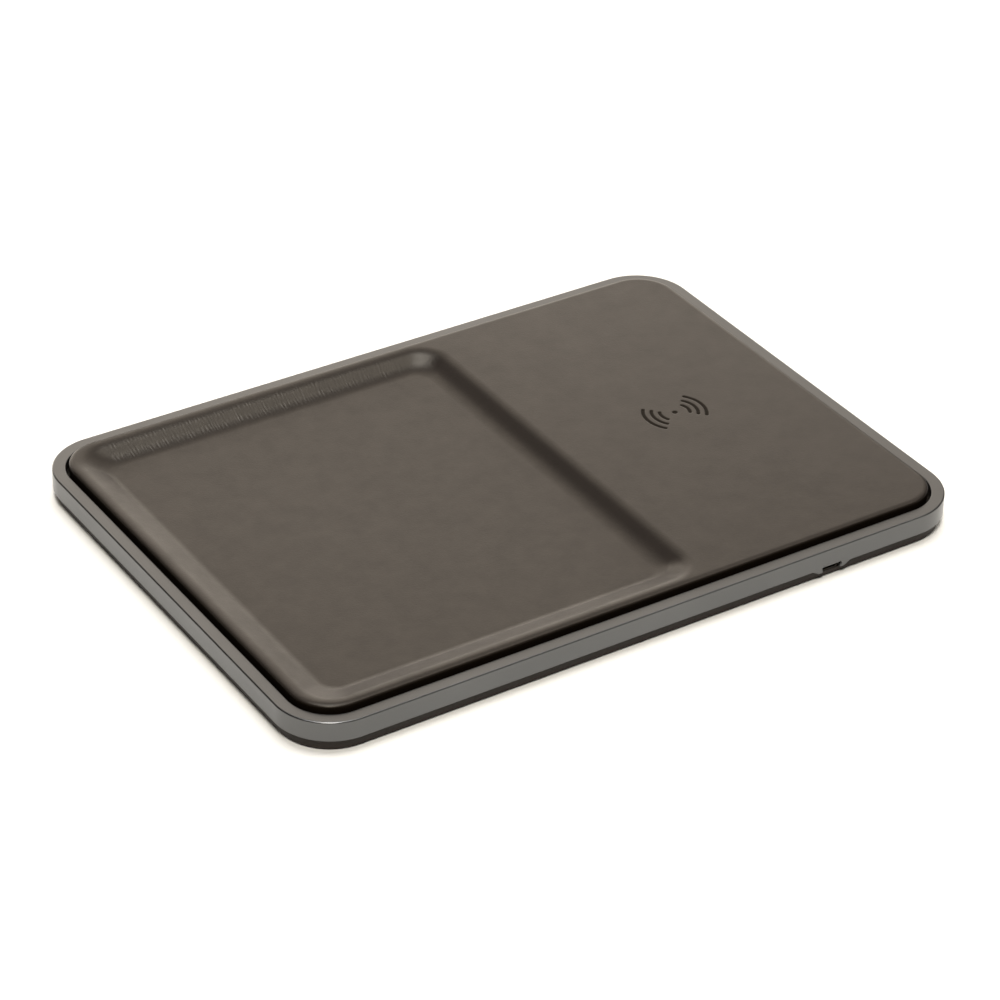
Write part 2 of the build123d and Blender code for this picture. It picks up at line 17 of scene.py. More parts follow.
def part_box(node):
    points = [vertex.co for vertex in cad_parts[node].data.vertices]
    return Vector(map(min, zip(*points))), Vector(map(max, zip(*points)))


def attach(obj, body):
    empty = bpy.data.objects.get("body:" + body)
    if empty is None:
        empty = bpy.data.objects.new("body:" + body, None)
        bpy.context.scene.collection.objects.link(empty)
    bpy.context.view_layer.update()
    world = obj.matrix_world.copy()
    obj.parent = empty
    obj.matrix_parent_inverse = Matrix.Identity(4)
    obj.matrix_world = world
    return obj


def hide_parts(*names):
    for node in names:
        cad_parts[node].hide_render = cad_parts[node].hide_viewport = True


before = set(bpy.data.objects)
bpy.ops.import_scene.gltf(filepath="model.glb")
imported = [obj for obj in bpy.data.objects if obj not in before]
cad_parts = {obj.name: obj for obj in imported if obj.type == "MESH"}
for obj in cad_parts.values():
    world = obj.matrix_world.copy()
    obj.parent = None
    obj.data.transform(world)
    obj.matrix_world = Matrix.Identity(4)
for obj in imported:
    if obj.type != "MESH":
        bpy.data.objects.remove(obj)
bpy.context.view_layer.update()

# %% [markdown]
# ## Sizes
#
# Shapes are worked out in millimetres and become metres only when a mesh is made. Outer sizes and heights
# are read from the measured parts, so the smooth surfaces land exactly where the parts are. Radii and
# walls that a box can't show are named here.

# %% Sizes in millimetres
MM = 0.001


def node_box(name):
    """Lowest and highest corner of a measured part, in millimetres."""
    low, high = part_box(name)
    return np.array(low) / MM, np.array(high) / MM


bezel_low, bezel_high = node_box("frame")
leather_low, leather_high = node_box("leather_cover")
shell_low, shell_high = node_box("socket_shell")
half_length = bezel_high[0]
half_width = bezel_high[1]
corner_radius = 18.5
frame_top = bezel_high[2]
frame_lift = 4.25
crown_top = leather_high[2]
hem_bottom = leather_low[2]
leather_inset = half_length - leather_high[0]
leather_thickness = 1.0
leather_edge_radius = 0.8
crown_slope = math.radians(20.0)  # the top falls this steeply at its edge, after an arc of crown_radius
crown_radius = 4.0
crest_inset = leather_inset + 1.9  # where the level top begins
hem_width = 6.0
panel_rim_bottom = hem_bottom + leather_thickness
print("bezel half sizes:", half_length, half_width, "crown at", round(crown_top, 2))

# %% [markdown]
# ## Shapes on a grid
#
# Both main pieces are a section carried round a rounded rectangle. A place on that rectangle is four
# numbers: how far along the straight core it lies in x and y, as shares from -1 to 1, and the outward
# direction there. A loop of any size then follows from one formula, so loops of different radius have
# points that match one to one.


# %% Places round a rounded rectangle
def round_places(front, right, back, left, corner_steps):
    """Places counter-clockwise from the front left corner's end. Each side is a rising list of shares.

    A corner is a quarter turn: its core share is a corner of the square and its direction turns evenly.
    """
    turn = np.linspace(0.0, np.pi / 2, corner_steps + 1)
    blocks = []
    sides = ((front, -np.pi / 2), (right, 0.0), (back[::-1], np.pi / 2), (left[::-1], np.pi))
    for shares, facing in sides:
        shares = np.asarray(shares, float)
        across = np.full(len(shares), 1.0)
        out_x, out_y = round(math.cos(facing)), round(math.sin(facing))
        core_x = shares if out_x == 0 else across * out_x
        core_y = shares if out_y == 0 else across * out_y
        blocks.append(np.stack([core_x, core_y, across * out_x, across * out_y], 1))
        angle = facing + turn
        corner_x = np.sign(math.cos(facing + np.pi / 4)) * np.ones(len(turn))
        corner_y = np.sign(math.sin(facing + np.pi / 4)) * np.ones(len(turn))
        blocks.append(np.stack([corner_x, corner_y, np.cos(angle), np.sin(angle)], 1))
    return np.concatenate(blocks)


print("places with one share a side and 4 corner steps:", len(round_places([0], [0], [0], [0], 4)))


# %% A loop of any size
def loop_points(places, half_x, half_y, radius):
    """x = core share times (half size - radius) + direction times radius, and y likewise.

    Sizes are one for each row, or a table with one for each row and place.
    """
    half_x, half_y, radius = (v if np.ndim(v) == 2 else np.reshape(v, (-1, 1))
                              for v in (half_x, half_y, radius))
    x = places[:, 0] * (half_x - radius) + places[:, 2] * radius
    y = places[:, 1] * (half_y - radius) + places[:, 3] * radius
    return x, y


# %% Faces between rows
def grid_faces(rows, columns, closed_rows=False):
    """Quads between neighbouring rows of a grid whose columns close on themselves."""
    steps = rows if closed_rows else rows - 1
    row, column = np.meshgrid(np.arange(steps), np.arange(columns), indexing="ij")
    next_row, next_column = (row + 1) % rows, (column + 1) % columns
    quads = [row * columns + column, row * columns + next_column,
             next_row * columns + next_column, next_row * columns + column]
    return np.stack(quads, -1).reshape(-1, 4)


print("faces between 3 rows of 8 points:", len(grid_faces(3, 8)))


# %% Rounded corners of a line
def round_corners(points, radii, steps):
    """A line with its corners rounded: each corner becomes an arc that is tangent to both its sides.

    The arc starts radius * tan(turn / 2) before the corner, and its points are centre + radius * direction.
    """
    points = np.asarray(points, float)
    made = [points[:1]]
    for before, corner, after, radius in zip(points[:-2], points[1:-1], points[2:], radii):
        a = (corner - before) / np.linalg.norm(corner - before)
        b = (after - corner) / np.linalg.norm(after - corner)
        side = a[0] * b[1] - a[1] * b[0]
        turn = math.atan2(abs(side), float(a @ b))
        if radius == 0 or turn == 0:
            made.append(corner[None])
            continue
        inward = np.array([-a[1], a[0]]) * np.sign(side)
        start = corner - a * radius * math.tan(turn / 2)
        angles = np.linspace(0.0, turn, steps + 1)[:, None]
        made.append(start + inward * radius * (1 - np.cos(angles)) + a * radius * np.sin(angles))
    made.append(points[-1:])
    return np.concatenate(made)


print("a right angle with radius 1:", round_corners([(0, 0), (2, 0), (2, 2)], [1], 2).round(2).tolist())


# %% Weld points and make a piece
def weld(points, faces):
    """Points closer than a tenth of a micrometre become one, and faces follow."""
    keys = np.round(points / 1e-4).astype(np.int64)
    kept, index = np.unique(keys, axis=0, return_index=True, return_inverse=True)[1:]
    return kept, [index.reshape(-1)[np.asarray(face)].tolist() for face in faces]


def make_piece(name, points, faces):
    """A smooth mesh from points in millimetres. Its object stays at the origin."""
    mesh = bpy.data.meshes.new(name)
    mesh.from_pydata((np.asarray(points) * MM).tolist(), [], faces)
    mesh.shade_smooth()
    piece = bpy.data.objects.new(name, mesh)
    bpy.context.scene.collection.objects.link(piece)
    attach(piece, "root")
    print(name, "faces:", len(mesh.polygons), "points:", len(mesh.vertices))
    return piece


# %% [markdown]
# ## The bezel
#
# On the real tray this is one aluminium part with a flat top face, a small rounded chamfer outside and in,
# a thin outer wall, and a lip below that clamps the leather. Its front wall drops as a tab round the power
# socket, with a notch for the plug. It could be a box with cuts and bevels. Here a swept section makes all
# of it: the lower edge of the wall isn't level but follows an outline in x and z, so the tab and its notch
# belong to the same surface. Points on the groove's side carry an attribute, for painted shade there.

# %% Lower edge of the front wall
wall = 1.5
tab_rise = 0.9
socket_x = (shell_low[0] + shell_high[0]) / 2
tab_low = bezel_low[2] + tab_rise
tab_top_width, tab_bottom_width, tab_corner = 14.4, 9.8, 0.6
notch_width, notch_foot_width, notch_corner = 6.95, 6.35, 0.4
shell_cover = 0.15
notch_top = shell_high[2] - shell_cover
tab_margin = 0.5
soft_edge = 0.15
edge_steps = 4
tab_corners = [
    (-tab_top_width / 2 - tab_margin, frame_lift),
    (-tab_top_width / 2, frame_lift),
    (-tab_bottom_width / 2, tab_low),
    (-notch_foot_width / 2, tab_low),
    (-notch_width / 2, notch_top),
    (notch_width / 2, notch_top),
    (notch_foot_width / 2, tab_low),
    (tab_bottom_width / 2, tab_low),
    (tab_top_width / 2, frame_lift),
    (tab_top_width / 2 + tab_margin, frame_lift),
]
tab_radii = [tab_corner] * 2 + [notch_corner] * 4 + [tab_corner] * 2
tab_line = round_corners(tab_corners, tab_radii, edge_steps) + np.array([socket_x, 0.0])
tab_travel = np.concatenate([[0.0], np.cumsum(np.linalg.norm(np.diff(tab_line, axis=0), axis=1))])
tab_upper_x = tab_line[0, 0] + (tab_line[-1, 0] - tab_line[0, 0]) * tab_travel / tab_travel[-1]
tab_tangent = np.gradient(tab_line, axis=0)
tab_tangent /= np.linalg.norm(tab_tangent, axis=1)[:, None]
tab_inward = np.stack([-tab_tangent[:, 1], tab_tangent[:, 0]], 1)
print("socket middle at x", round(float(socket_x), 2), "tab points:", len(tab_line))

# %% The bezel's section
face_width = 4.45
flange, rail, lip, lip_width = 1.6, 1.2, 1.0, 3.5
chamfer, inner_chamfer, foot_chamfer = 0.3, 0.3, 0.2
chamfer_round, inner_round = 0.45, 0.45
flange_bottom = frame_top - flange
lip_bottom = hem_bottom - lip
waist = notch_top + 1.0
hold = 0.15  # rows this near an edge keep the flats flat under smooth shading


def bezel_section():
    """Inset and height of the section's rows, from the waist outside, over the top, to the waist inside."""
    corners = [
        (0.0, waist), (0.0, frame_top - chamfer), (chamfer, frame_top),
        (face_width - inner_chamfer, frame_top), (face_width, frame_top - inner_chamfer),
        (face_width, hem_bottom), (face_width + lip_width, hem_bottom),
        (face_width + lip_width, lip_bottom), (face_width - rail, lip_bottom),
        (face_width - rail, flange_bottom), (wall, flange_bottom), (wall, waist),
    ]
    radii = (chamfer_round, chamfer_round, inner_round, inner_round, 0, 0, 0, 0, 0, 0)
    line = round_corners(corners, radii, edge_steps)
    held = [line[:1]]
    for first, second in zip(line[:-1], line[1:]):
        span = np.linalg.norm(second - first)
        if span > 4 * hold:
            step = (second - first) / span * hold
            held.append(np.stack([first + step, second - step]))
        held.append(second[None])
    return np.concatenate(held)


section = bezel_section()
print("rows of the section:", len(section))

# %% Sweep the bezel
core_x = half_length - corner_radius
side_points, right_of_tab_points, bezel_corner_steps = 12, 6, 24
straight = np.linspace(-1, 1, side_points)[1:-1]
left_of_tab = np.linspace(-core_x, tab_upper_x[0], side_points)[1:-1]
right_of_tab = np.linspace(tab_upper_x[-1], core_x, right_of_tab_points)[1:-1]
front_x = np.concatenate([left_of_tab, tab_upper_x, right_of_tab])
bezel_places = round_places(front_x / core_x, straight, straight, straight, bezel_corner_steps)
# The foot's rows run from inside to outside. Each has an inset and a height above the lower edge.
foot = np.array([
    (wall, 2 * hold), (wall, soft_edge), (wall - soft_edge, 0.0), (wall - foot_chamfer - hold, 0.0),
    (foot_chamfer + hold, 0.0), (foot_chamfer, 0.0), (0.0, foot_chamfer), (0.0, foot_chamfer + hold)])
inset = np.concatenate([section[:, 0], foot[:, 0]])
bezel_x, bezel_y = loop_points(bezel_places, half_length - inset, half_width - inset, corner_radius - inset)
bezel_z = np.repeat(np.concatenate([section[:, 1], frame_lift + foot[:, 1]])[:, None], len(bezel_places), 1)
on_tab = slice(len(left_of_tab), len(left_of_tab) + len(tab_line))
lower = slice(len(section), None)
bezel_x[lower, on_tab] = tab_line[:, 0] + tab_inward[:, 0] * foot[:, 1:2]
bezel_z[lower, on_tab] = tab_line[:, 1] + tab_inward[:, 1] * foot[:, 1:2]
bezel_points = np.stack([bezel_x, bezel_y, bezel_z], -1).reshape(-1, 3)
bezel_faces = grid_faces(len(inset), len(bezel_places), closed_rows=True)
bezel = make_piece("bezel", bezel_points, bezel_faces.tolist())

# %% Mark the groove's side for painted shade
groove_start, tolerance = 0.5, 0.01
beside_groove = np.repeat(inset, len(bezel_places)) > face_width - tolerance
# Painted shade: the finish turns the groove's side near black, standing in for the shade deep in the gap.
groove_painted_shade = (beside_groove & (bezel_z.reshape(-1) < frame_top - groove_start)).astype(np.float32)
bezel.data.attributes.new("groove_painted_shade", "FLOAT", "POINT").data.foreach_set("value", groove_painted_shade)
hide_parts("frame")
print("points on the groove's side:", int(groove_painted_shade.sum()))

# %% [markdown]
# ## The leather
#
# One skin covers the whole top. At the rim it slopes gently, rolls over the panel's edge and is turned in
# underneath. On the left it is drawn down into the dish, over a round crest and along a long sweep to the
# flat floor. The back and right walls fall more steeply than the front and left ones. Drawing the leather
# down leaves fine upright pleats, most of all on the wall that faces the user. Cloth simulation would only
# find the shape of the panel again, so the skin is worked out from arcs of the panel's depth and width.

# %% Sizes of the dish and the crest
dish_depth, dish_run = 3.8, 11.3
# Steepest slope and the crest's radius, for the back and right walls, then for the front and left ones.
far_wall, near_wall = (math.radians(33.0), 7.4), (math.radians(24.0), 6.5)
dish_floor_corner = 5.0
field_width = 94.7
dish_left = crest_inset - half_length
dish_right = half_length - field_width
dish_middle = (dish_left + dish_right) / 2
dish_half_x = (dish_right - dish_left) / 2
dish_half_y = half_width - crest_inset
crest_radius = corner_radius - crest_inset
crest_core_x = half_length - crest_inset - crest_radius
crest_core_y = half_width - crest_inset - crest_radius
dish_core_x = dish_half_x - crest_radius
print("dish half sizes:", round(float(dish_half_x), 2), round(float(dish_half_y), 2), "depth", dish_depth)

# %% Sampling of the leather's loops
pleat_pitch = 0.24
edge_pitch = 3.0
leather_corner_steps = 20


def spaced(low, high, pitch):
    """Even steps strictly between two values, at about a pitch."""
    return np.linspace(low, high, max(2, round((high - low) / pitch)) + 1)[1:-1]


dish_start_x, dish_end_x = dish_middle - dish_core_x, dish_middle + dish_core_x
field_x = np.concatenate([[dish_end_x], spaced(dish_end_x, crest_core_x, edge_pitch)])
back_dish_x = spaced(dish_start_x, dish_end_x, pleat_pitch)
front_dish_x = spaced(dish_start_x, dish_end_x, 2 * pleat_pitch)
side_y = spaced(-1.0, 1.0, edge_pitch / crest_core_y)
leather_places = round_places(
    np.concatenate([front_dish_x, field_x]) / crest_core_x, side_y,
    np.concatenate([back_dish_x, field_x]) / crest_core_x, side_y, leather_corner_steps)
dish_places = round_places(
    (front_dish_x - dish_middle) / dish_core_x, side_y, (back_dish_x - dish_middle) / dish_core_x, side_y,
    leather_corner_steps)
print("places round the rim:", len(leather_places), "round the dish:", len(dish_places))


# %% The rim's band
rim_steps = 10


def rim_band():
    """The skin's edge as one band: back of the skin, the turned-in hem, round the rolled edge, to the top.

    The top falls at a gentle slope towards the edge. That slope's arc ends at the crest, so it starts
    radius * tan(slope / 2) before it.
    """
    hem_end = leather_inset + hem_width
    back_side = leather_inset + leather_thickness
    bend = crest_inset - crown_radius * math.tan(crown_slope / 2)
    edge_fall = (bend - leather_inset) * math.tan(crown_slope)
    corners = [
        (crest_inset, crown_top - leather_thickness), (bend, crown_top - leather_thickness),
        (back_side, crown_top - leather_thickness - (bend - back_side) * math.tan(crown_slope)),
        (back_side, panel_rim_bottom), (hem_end, panel_rim_bottom), (hem_end, hem_bottom),
        (leather_inset, hem_bottom), (leather_inset, crown_top - edge_fall), (bend, crown_top),
        (crest_inset, crown_top),
    ]
    radii = (0, 0, 0, 0, 0, leather_thickness, leather_edge_radius, crown_radius)
    line = round_corners(corners, radii, rim_steps)[:-1]
    x, y = loop_points(leather_places, half_length - line[:, 0], half_width - line[:, 0],
                       corner_radius - line[:, 0])
    z = np.repeat(line[:, 1][:, None], len(leather_places), 1)
    return np.stack([x, y, z], -1).reshape(-1, 3), grid_faces(len(line), len(leather_places))


rim_part = rim_band()
print("points of the rim's band:", len(rim_part[0]))


# %% Profile down the dish's walls
def wall_profile(steepest, crest_curve, crest_steps, sweep_steps):
    """Run, fall and slope down a wall: a convex arc, a straight slope and a concave arc.

    The arc over the crest has run = r sin(slope) and fall = r (1 - cos(slope)), and the sweep mirrors that
    from the floor. The sweep's radius and the straight's length are what is left of the run and the depth.
    """
    sine, cosine = math.sin(steepest), math.cos(steepest)
    left = [dish_run - crest_curve * sine, dish_depth - crest_curve * (1 - cosine)]
    sweep_radius = np.linalg.solve([[sine, cosine], [1 - cosine, sine]], left)[0]
    down = np.linspace(0.0, steepest, crest_steps + 1)
    up = np.linspace(steepest, 0.0, sweep_steps + 1)
    run = np.concatenate([crest_curve * np.sin(down), dish_run - sweep_radius * np.sin(up)])
    fall = np.concatenate([crest_curve * (1 - np.cos(down)), dish_depth - sweep_radius * (1 - np.cos(up))])
    return np.stack([run, fall, np.concatenate([down, up])])[:, :, None]


def dish_profile(crest_steps, sweep_steps):
    """Run, fall and slope at every place: the far walls' profile passes into the near walls' at two corners.

    The near share is (1 - direction x - direction y) / 2, held between 0 and 1.
    """
    near = np.clip((1 - dish_places[:, 2] - dish_places[:, 3]) / 2, 0, 1)
    far = wall_profile(*far_wall, crest_steps, sweep_steps)
    return far + (wall_profile(*near_wall, crest_steps, sweep_steps) - far) * near


# %% [markdown]
# ## Pleats
#
# Leather that is drawn into a dish has too much width near its floor, and gathers in creases a millimetre or
# two apart. A bump pattern could draw them, but a bump is lost at a low view and in the exported mesh. Here
# a sum of waves moves the grid's points along the surface's normal, which is why the grid is so fine there.

# %% Pleats
pleat_height, pleat_lean, pleat_phase, pleat_fade = 0.0078, 0.3, 2.4, 4.0
pleat_lengths = np.geomspace(0.85, 1.8, 8)
near_wall_pleats = 0.4
print("pleat lengths in mm:", pleat_lengths.round(2))


def pleat_rise(x, run):
    """Fine creases: eight waves of neighbouring lengths, each leaning its own way, so they cross and fade.

    rise = height * sum of sin(2 pi (x + lean * run) / length + phase), strongest halfway down the wall.
    """
    numbers = np.arange(len(pleat_lengths))
    waves = sum(np.sin(2 * np.pi * (x + pleat_lean * run * math.sin(3 * k)) / length + pleat_phase * k * k)
                for k, length in zip(numbers, pleat_lengths))
    inside = np.clip((dish_core_x - np.abs(x - dish_middle)) / pleat_fade, 0, 1)
    return pleat_height * waves * inside * np.sin(np.pi * np.clip(run / dish_run, 0, 1))


# %% The dish's surface
def dish_surface(drop, crest_steps, sweep_steps, pleated):
    """Rows of loops from the crest to the floor, each smaller and lower, then the floor as one face."""
    run, fall, slope = dish_profile(crest_steps, sweep_steps)
    radius = crest_radius + (dish_floor_corner - crest_radius) * run / dish_run
    x, y = loop_points(dish_places, dish_half_x - run, dish_half_y - run, radius)
    x = x + dish_middle
    z = crown_top - drop - fall
    if pleated:
        facing = np.abs(dish_places[:, 3]) * np.where(dish_places[:, 3] > 0, 1.0, near_wall_pleats)
        rise = pleat_rise(x, run) * facing
        y = y - rise * np.sin(slope) * dish_places[:, 3]
        z = z + rise * np.cos(slope)
    points = np.stack([x, y, z], -1).reshape(-1, 3)
    rows, columns = len(run), len(dish_places)
    floor = np.arange(columns) + (rows - 1) * columns
    return points, grid_faces(rows, columns).tolist() + [floor.tolist()]


dish_top = dish_surface(0.0, 10, 14, True)
under_points, under_faces = dish_surface(leather_thickness, 5, 7, False)
dish_under = under_points, [face[::-1] for face in under_faces]  # the skin's back faces down
print("points of the dish, top and back:", len(dish_top[0]), len(dish_under[0]))

# %% [markdown]
# ## The charging mark
#
# The flat field carries a small pressed sign: a dot with three arcs on either side. A bump could draw it,
# but it would be missing from the exported mesh, so it is real depth here. A fine patch of the surface is
# lowered wherever a point is nearer to a stroke than half its width, with a soft shoulder as pressed
# leather has. How deep a point lies is also kept as an attribute, so the finish can darken the leather
# where the hot tool touched it. The rim takes the same attribute for painted shade: its rolled edge beside
# the groove is painted nearly black, where the groove's shade falls.

# %% Sizes and strokes of the sign
mark_x, mark_y = 68.45, 0.45
mark_radii = (5.0, 7.65, 10.4)
mark_half_angles = (28.5, 36.5, 38.5)
mark_stroke, mark_dot, mark_depth, mark_shoulder = 1.2, 1.85, 0.15, 0.25
mark_half_x, mark_half_y, mark_cell = 13.0, 9.0, 0.2
print("sign's width in mm:", 2 * mark_radii[-1] + mark_stroke)


def mark_cover(x, y):
    """1 inside a stroke, 0 outside, with an S-shaped shoulder between.

    Distance to an arc is |r - radius| within its half angle, and the distance to its end beyond it.
    """
    x, y = np.abs(x), np.abs(y)
    away = np.hypot(x, y) - (mark_dot - mark_stroke) / 2
    for radius, half_angle in zip(mark_radii, np.radians(mark_half_angles)):
        end_x, end_y = radius * math.cos(half_angle), radius * math.sin(half_angle)
        to_arc = np.where(np.arctan2(y, x) <= half_angle, np.abs(np.hypot(x, y) - radius),
                          np.hypot(x - end_x, y - end_y))
        away = np.minimum(away, to_arc)
    t = np.clip((mark_stroke / 2 + mark_shoulder / 2 - away) / mark_shoulder, 0, 1)
    return t * t * (3 - 2 * t)


# %% A fine patch that holds the sign
def mark_patch():
    """A fine grid round the sign, lowered by depth times cover."""
    columns, rows = round(2 * mark_half_x / mark_cell) + 1, round(2 * mark_half_y / mark_cell) + 1
    x, y = np.meshgrid(np.linspace(-mark_half_x, mark_half_x, columns),
                       np.linspace(-mark_half_y, mark_half_y, rows))
    cover = mark_cover(x, y)
    points = np.stack([x + mark_x, y + mark_y, crown_top - mark_depth * cover], -1).reshape(-1, 3)
    corner = (np.arange(rows - 1)[:, None] * columns + np.arange(columns - 1)).reshape(-1)
    faces = np.stack([corner, corner + 1, corner + columns + 1, corner + columns], 1)
    border = np.concatenate([
        np.arange(columns), np.arange(1, rows) * columns + columns - 1,
        (rows - 1) * columns + np.arange(columns - 2, -1, -1), np.arange(rows - 2, 0, -1) * columns])
    return points, faces, border, cover.reshape(-1)


patch_points, patch_faces, patch_border, patch_cover = mark_patch()
print("points of the patch:", len(patch_points), "of them pressed:", int((patch_cover > 0.5).sum()))

# %% [markdown]
# ## The flat field
#
# Between the dish, the rim and the sign's patch lies flat leather with an outline that no regular grid fits.
# A constrained triangulation takes the outline's own points as its corners, so the field meets its
# neighbours point by point and the skin stays closed.

# %% Points inside a loop
def inside_loop(points, loop):
    """Even-odd rule: a point is inside if a ray from it crosses the loop an odd number of times."""
    x, y = points[:, :1], points[:, 1:2]
    ax, ay = loop[:, 0], loop[:, 1]
    bx, by = np.roll(ax, -1), np.roll(ay, -1)
    spans = (ay > y) != (by > y)
    cross = ax + (y - ay) * (bx - ax) / np.where(by == ay, 1.0, by - ay)
    return (spans & (x < cross)).sum(1) % 2 == 1


# %% The flat field round the patch
def field_border():
    """The flat field's outline: up the dish's right side, then round the rim's right side and back."""
    x, y = loop_points(dish_places, dish_half_x, dish_half_y, crest_radius)
    dish = np.stack([x[0] + dish_middle, y[0]], 1)
    dish = dish[(dish[:, 0] > dish_end_x - 1e-6)]
    x, y = loop_points(leather_places, half_length - crest_inset, half_width - crest_inset, crest_radius)
    rim = np.stack([x[0], y[0]], 1)
    rim = rim[rim[:, 0] > dish_end_x - 1e-6]
    return dish, rim


def field_surface(height, hole):
    """Triangles over the flat field. A hole is left where the fine patch goes."""
    dish, rim = field_border()
    dish = dish[np.argsort(dish[:, 1])]
    turn = np.arctan2(rim[:, 1], rim[:, 0] - dish_end_x + 1e-9)
    rim = rim[np.argsort(turn)]
    loop = np.concatenate([rim, dish[::-1][1:-1]])
    points = loop if hole is None else np.concatenate([loop, hole])
    ends = [len(loop)] if hole is None else [len(loop), len(hole)]
    edges, start = [], 0
    for count in ends:
        edges += [(start + i, start + (i + 1) % count) for i in range(count)]
        start += count
    made = delaunay_2d_cdt([Vector(p) for p in points.tolist()], edges, [], 0, 1e-7)
    flat = points[[sources[0] for sources in made[3]]]
    faces = np.array(made[2])
    middle = flat[faces].mean(1)
    keep = inside_loop(middle, loop)
    if hole is not None:
        keep &= ~inside_loop(middle, hole)
    faces = faces[keep]
    a, b, c = flat[faces[:, 0]], flat[faces[:, 1]], flat[faces[:, 2]]
    area = (b[:, 0] - a[:, 0]) * (c[:, 1] - a[:, 1]) - (b[:, 1] - a[:, 1]) * (c[:, 0] - a[:, 0])
    faces = np.where((area < 0)[:, None], faces[:, ::-1], faces)
    return np.column_stack([flat, np.full(len(flat), height)]), faces


field_top = field_surface(crown_top, patch_points[patch_border][:, :2])
under_points, under_faces = field_surface(crown_top - leather_thickness, None)
field_under = under_points, under_faces[:, ::-1]
print("triangles of the field, top and back:", len(field_top[1]), len(field_under[1]))

# %% Join the leather's surfaces
parts = [rim_part, dish_top, (patch_points, patch_faces), field_top, dish_under, field_under]
leather_points = np.concatenate([points for points, faces in parts])
starts = np.cumsum([0] + [len(points) for points, faces in parts[:-1]])
leather_faces = [(np.asarray(face) + start).tolist()
                 for start, (points, faces) in zip(starts, parts) for face in faces]
print("surfaces:", len(parts), "points:", len(leather_points), "faces:", len(leather_faces))

# %% Where the leather is dark: the pressed sign, and painted shade on the rim
edge_shade_start, edge_shade_depth = 0.05, 0.8
rim_height = parts[0][0][:, 2]
pressed_mark_and_edge_shade = np.zeros(len(leather_points))
# Painted shade: the rim darkens from just under the crown down towards the groove, where shade falls.
pressed_mark_and_edge_shade[:len(rim_height)] = np.clip((crown_top - edge_shade_start - rim_height) / edge_shade_depth, 0, 1)
patch_start = starts[2]
# The pressed sign darkens as its own colour, where the hot tool touched it.
pressed_mark_and_edge_shade[patch_start:patch_start + len(patch_cover)] = patch_cover
print("dark points:", int((pressed_mark_and_edge_shade > 0.5).sum()), "of", len(pressed_mark_and_edge_shade))

# %% Make the leather and give it its attribute
kept, leather_faces = weld(leather_points, leather_faces)
leather = make_piece("leather_top", leather_points[kept], leather_faces)
attribute = leather.data.attributes.new("pressed_mark_and_edge_shade", "FLOAT", "POINT")
attribute.data.foreach_set("value", pressed_mark_and_edge_shade[kept].astype(np.float32))
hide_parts("leather_cover")


# %% [markdown]
# ## Finishes
#
# A finish is a node tree on one shader. One helper adds a node with its settings and its links. Patterns
# read Object coordinates, which are metres here, so a pattern of d millimetres has scale 1 / (d * MM).

# %% Colours and nodes
def hex_colour(text):
    """sRGB hex to the linear values that shaders take."""
    values = [int(text[i:i + 2], 16) / 255 for i in (1, 3, 5)]
    return tuple(v / 12.92 if v <= 0.04045 else ((v + 0.055) / 1.055) ** 2.4 for v in values) + (1.0,)


def add(tree, kind, inputs=None, **settings):
    """One node: settings are its own properties, inputs are values or the sockets that feed it."""
    made = tree.nodes.new("ShaderNode" + kind)
    for name, value in settings.items():
        setattr(made, name, value)
    for name, value in (inputs or {}).items():
        if isinstance(value, bpy.types.NodeSocket):
            tree.links.new(value, made.inputs[name])
        else:
            made.inputs[name].default_value = value
    return made


print("middle grey in linear values:", [round(v, 3) for v in hex_colour("#808080")])


# %% A new finish
def new_finish(name, **sockets):
    """A named material with one shader, whose plain numbers are set on its own sockets."""
    material = bpy.data.materials.new(name)
    material.use_nodes = True
    tree = material.node_tree
    tree.nodes.clear()
    shader = add(tree, "BsdfPrincipled", {key.replace("_", " "): value for key, value in sockets.items()})
    add(tree, "OutputMaterial", {"Surface": shader.outputs["BSDF"]})
    place = add(tree, "TexCoord").outputs["Object"]
    return material, tree, shader, place


# %% Two tones, and dressing a piece
TONE_LOW, TONE_HIGH = 0.3, 0.7  # a noise lies mostly between these, so the two tones sit there


def two_tones(tree, share, dark, light):
    """The colour socket of a ramp that goes from one tone to the other as a noise rises."""
    ramp = add(tree, "ValToRGB", {"Fac": share})
    for element, position, colour in zip(ramp.color_ramp.elements, (TONE_LOW, TONE_HIGH), (dark, light)):
        element.position = position
        element.color = hex_colour(colour)
    return ramp.outputs["Color"]


def dress(piece, material):
    """Make this the piece's only material."""
    piece.data.materials.clear()
    piece.data.materials.append(material)


# %% [markdown]
# ## Bead-blasted anodised aluminium
#
# The bezel is machined, blasted with fine beads and anodised dark grey. It is metallic but no mirror, since
# blasting leaves pits of about 0.1 mm, which blur every reflection. Roughness alone gives the blur, and a
# fine relief on top breaks up the highlights. Noise in the piece's own coordinates makes it, because that
# has no seams. The pits are drawn at 0.35 mm, as finer ones would vanish between the render's pixels. The
# groove's side is painted nearly black as shade, so the gap beside the leather reads as one dark line.

# %% Finish of the bezel
blast_pit, metal_drift = 0.35, 25
anodised, tree, shader, place = new_finish("bead_blasted_anodised_aluminium", Metallic=1.0, Roughness=0.31)
pits = add(tree, "TexNoise", {"Vector": place, "Scale": 1 / (blast_pit * MM), "Detail": 2.0})
cloud = add(tree, "TexNoise", {"Vector": place, "Scale": 1 / (metal_drift * MM), "Detail": 3.0})
tone = two_tones(tree, cloud.outputs["Fac"], "#606060", "#646464")
relief = add(tree, "Bump", {"Height": pits.outputs["Fac"], "Strength": 0.25, "Distance": 0.02 * MM})
# Painted shade: near black is mixed in on the groove's side, for the shade deep in the gap by the leather.
groove = add(tree, "Attribute", attribute_name="groove_painted_shade")
colour = add(tree, "Mix", {"Factor": groove.outputs["Fac"], "A": tone, "B": hex_colour("#16130f")},
             data_type="RGBA")
tree.links.new(colour.outputs["Result"], shader.inputs["Base Color"])
tree.links.new(relief.outputs["Normal"], shader.inputs["Normal"])
dress(bezel, anodised)
print("dressed the bezel")
